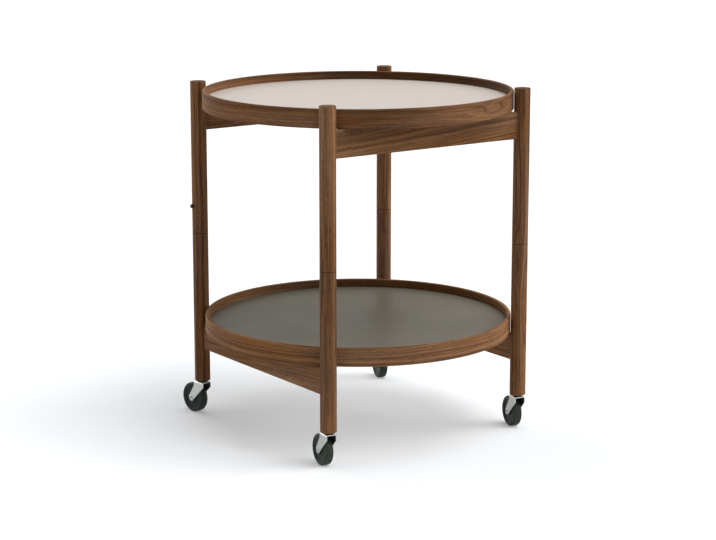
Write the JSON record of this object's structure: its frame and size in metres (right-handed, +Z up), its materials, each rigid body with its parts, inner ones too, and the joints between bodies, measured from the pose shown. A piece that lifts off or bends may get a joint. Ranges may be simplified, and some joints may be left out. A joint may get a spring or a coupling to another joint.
{
  "type": "folding tray trolley",
  "caption": "Two-tier trolley with loose round trays in bent wood rims, resting on a folding frame of split round posts and flat rails, on swivel casters.",
  "frame": {"origin": "on the floor, under the middle of the trays", "axes": "+Z up, +X along the upper rails towards the right-hand posts, +Y along the lower rails towards the back"},
  "size_m": [0.5, 0.5, 0.5605],
  "materials": {
    "walnut": "satin oiled walnut",
    "board_core": "plain plywood core",
    "pale_laminate": "smooth pale laminate",
    "dark_laminate": "smooth dark grey laminate",
    "steel_pin": "turned steel",
    "zinc_plated_steel": "zinc-plated pressed sheet",
    "black_nylon": "moulded black nylon",
    "black_rubber": "smooth black rubber",
    "dark_peg": "dark stained turned wood"
  },
  "bodies": {
    "left_frame": {"front_left_lower_post": "walnut", "back_left_lower_post": "walnut", "left_lower_rail": "walnut", "front_left_pivot": "steel_pin", "front_left_washer": "black_nylon", "front_left_socket": "black_nylon", "front_left_stem": "steel_pin", "front_left_race": "black_nylon", "back_left_pivot": "steel_pin", "back_left_washer": "black_nylon", "back_left_socket": "black_nylon", "back_left_stem": "steel_pin", "back_left_race": "black_nylon"},
    "front_frame": {"front_left_upper_post": "walnut", "front_right_upper_post": "walnut", "front_upper_rail": "walnut"},
    "back_frame": {"back_left_upper_post": "walnut", "back_right_upper_post": "walnut", "back_upper_rail": "walnut"},
    "right_frame": {"front_right_lower_post": "walnut", "back_right_lower_post": "walnut", "right_lower_rail": "walnut", "front_right_pivot": "steel_pin", "front_right_washer": "black_nylon", "front_right_socket": "black_nylon", "front_right_stem": "steel_pin", "front_right_race": "black_nylon", "back_right_pivot": "steel_pin", "back_right_washer": "black_nylon", "back_right_socket": "black_nylon", "back_right_stem": "steel_pin", "back_right_race": "black_nylon"},
    "upper_tray": {"upper_rim": "walnut", "upper_core": "board_core", "upper_top_laminate": "pale_laminate", "upper_bottom_laminate": "dark_laminate"},
    "lower_tray": {"lower_rim": "walnut", "lower_core": "board_core", "lower_top_laminate": "dark_laminate", "lower_bottom_laminate": "pale_laminate"},
    "lock": {"lock_pin": "dark_peg"},
    "front_left_caster": {"front_left_fork": "zinc_plated_steel", "front_left_axle": "steel_pin"},
    "front_left_wheel": {"front_left_hub": "black_nylon", "front_left_tyre": "black_rubber"},
    "front_right_caster": {"front_right_fork": "zinc_plated_steel", "front_right_axle": "steel_pin"},
    "front_right_wheel": {"front_right_hub": "black_nylon", "front_right_tyre": "black_rubber"},
    "back_right_caster": {"back_right_fork": "zinc_plated_steel", "back_right_axle": "steel_pin"},
    "back_right_wheel": {"back_right_hub": "black_nylon", "back_right_tyre": "black_rubber"},
    "back_left_caster": {"back_left_fork": "zinc_plated_steel", "back_left_axle": "steel_pin"},
    "back_left_wheel": {"back_left_hub": "black_nylon", "back_left_tyre": "black_rubber"}
  },
  "joints": [
    {"name": "front_fold", "type": "hinge", "parent": "left_frame", "child": "front_frame", "pos_m": [-0.18694, -0.18694, 0.3095], "axis": [0, 0, 1], "range_deg": [-0.25, 0.25]},
    {"name": "back_fold", "type": "hinge", "parent": "left_frame", "child": "back_frame", "pos_m": [-0.18694, 0.18694, 0.3095], "axis": [0, 0, 1], "range_deg": [-0.25, 0.25]},
    {"name": "right_fold", "type": "hinge", "parent": "front_frame", "child": "right_frame", "pos_m": [0.18694, -0.18694, 0.3095], "axis": [0, 0, 1], "range_deg": [-0.25, 0.25]},
    {"name": "upper_tray_lift", "type": "slide", "parent": "left_frame", "child": "upper_tray", "axis": [0, 0, 1], "range_m": [0, 0.15]},
    {"name": "lower_tray_lift", "type": "slide", "parent": "left_frame", "child": "lower_tray", "axis": [0, 0, 1], "range_m": [0, 0.28]},
    {"name": "lock_pull", "type": "slide", "parent": "back_frame", "child": "lock", "axis": [-1, 0, 0], "range_m": [0, 0.02]},
    {"name": "front_left_swivel", "type": "hinge", "parent": "left_frame", "child": "front_left_caster", "pos_m": [-0.18694, -0.18694, 0.0579], "axis": [0, 0, 1], "continuous": true},
    {"name": "front_left_roll", "type": "hinge", "parent": "front_left_caster", "child": "front_left_wheel", "pos_m": [-0.18399, -0.16716, 0.025], "axis": [0.989, -0.1478, 0], "continuous": true},
    {"name": "front_right_swivel", "type": "hinge", "parent": "right_frame", "child": "front_right_caster", "pos_m": [0.18694, -0.18694, 0.0579], "axis": [0, 0, 1], "continuous": true},
    {"name": "front_right_roll", "type": "hinge", "parent": "front_right_caster", "child": "front_right_wheel", "pos_m": [0.19192, -0.16757, 0.025], "axis": [0.9686, -0.2487, 0], "continuous": true},
    {"name": "back_right_swivel", "type": "hinge", "parent": "right_frame", "child": "back_right_caster", "pos_m": [0.18694, 0.18694, 0.0579], "axis": [0, 0, 1], "continuous": true},
    {"name": "back_right_roll", "type": "hinge", "parent": "back_right_caster", "child": "back_right_wheel", "pos_m": [0.19279, 0.20607, 0.025], "axis": [0.9563, -0.2924, 0], "continuous": true},
    {"name": "back_left_swivel", "type": "hinge", "parent": "left_frame", "child": "back_left_caster", "pos_m": [-0.18694, 0.18694, 0.0579], "axis": [0, 0, 1], "continuous": true},
    {"name": "back_left_roll", "type": "hinge", "parent": "back_left_caster", "child": "back_left_wheel", "pos_m": [-0.19007, 0.20669, 0.025], "axis": [0.9877, 0.1564, 0], "continuous": true}
  ],
  "couplings": [
    {"joint": "back_fold", "follows": "front_fold", "ratio": 1},
    {"joint": "right_fold", "follows": "front_fold", "ratio": -1}
  ]
}
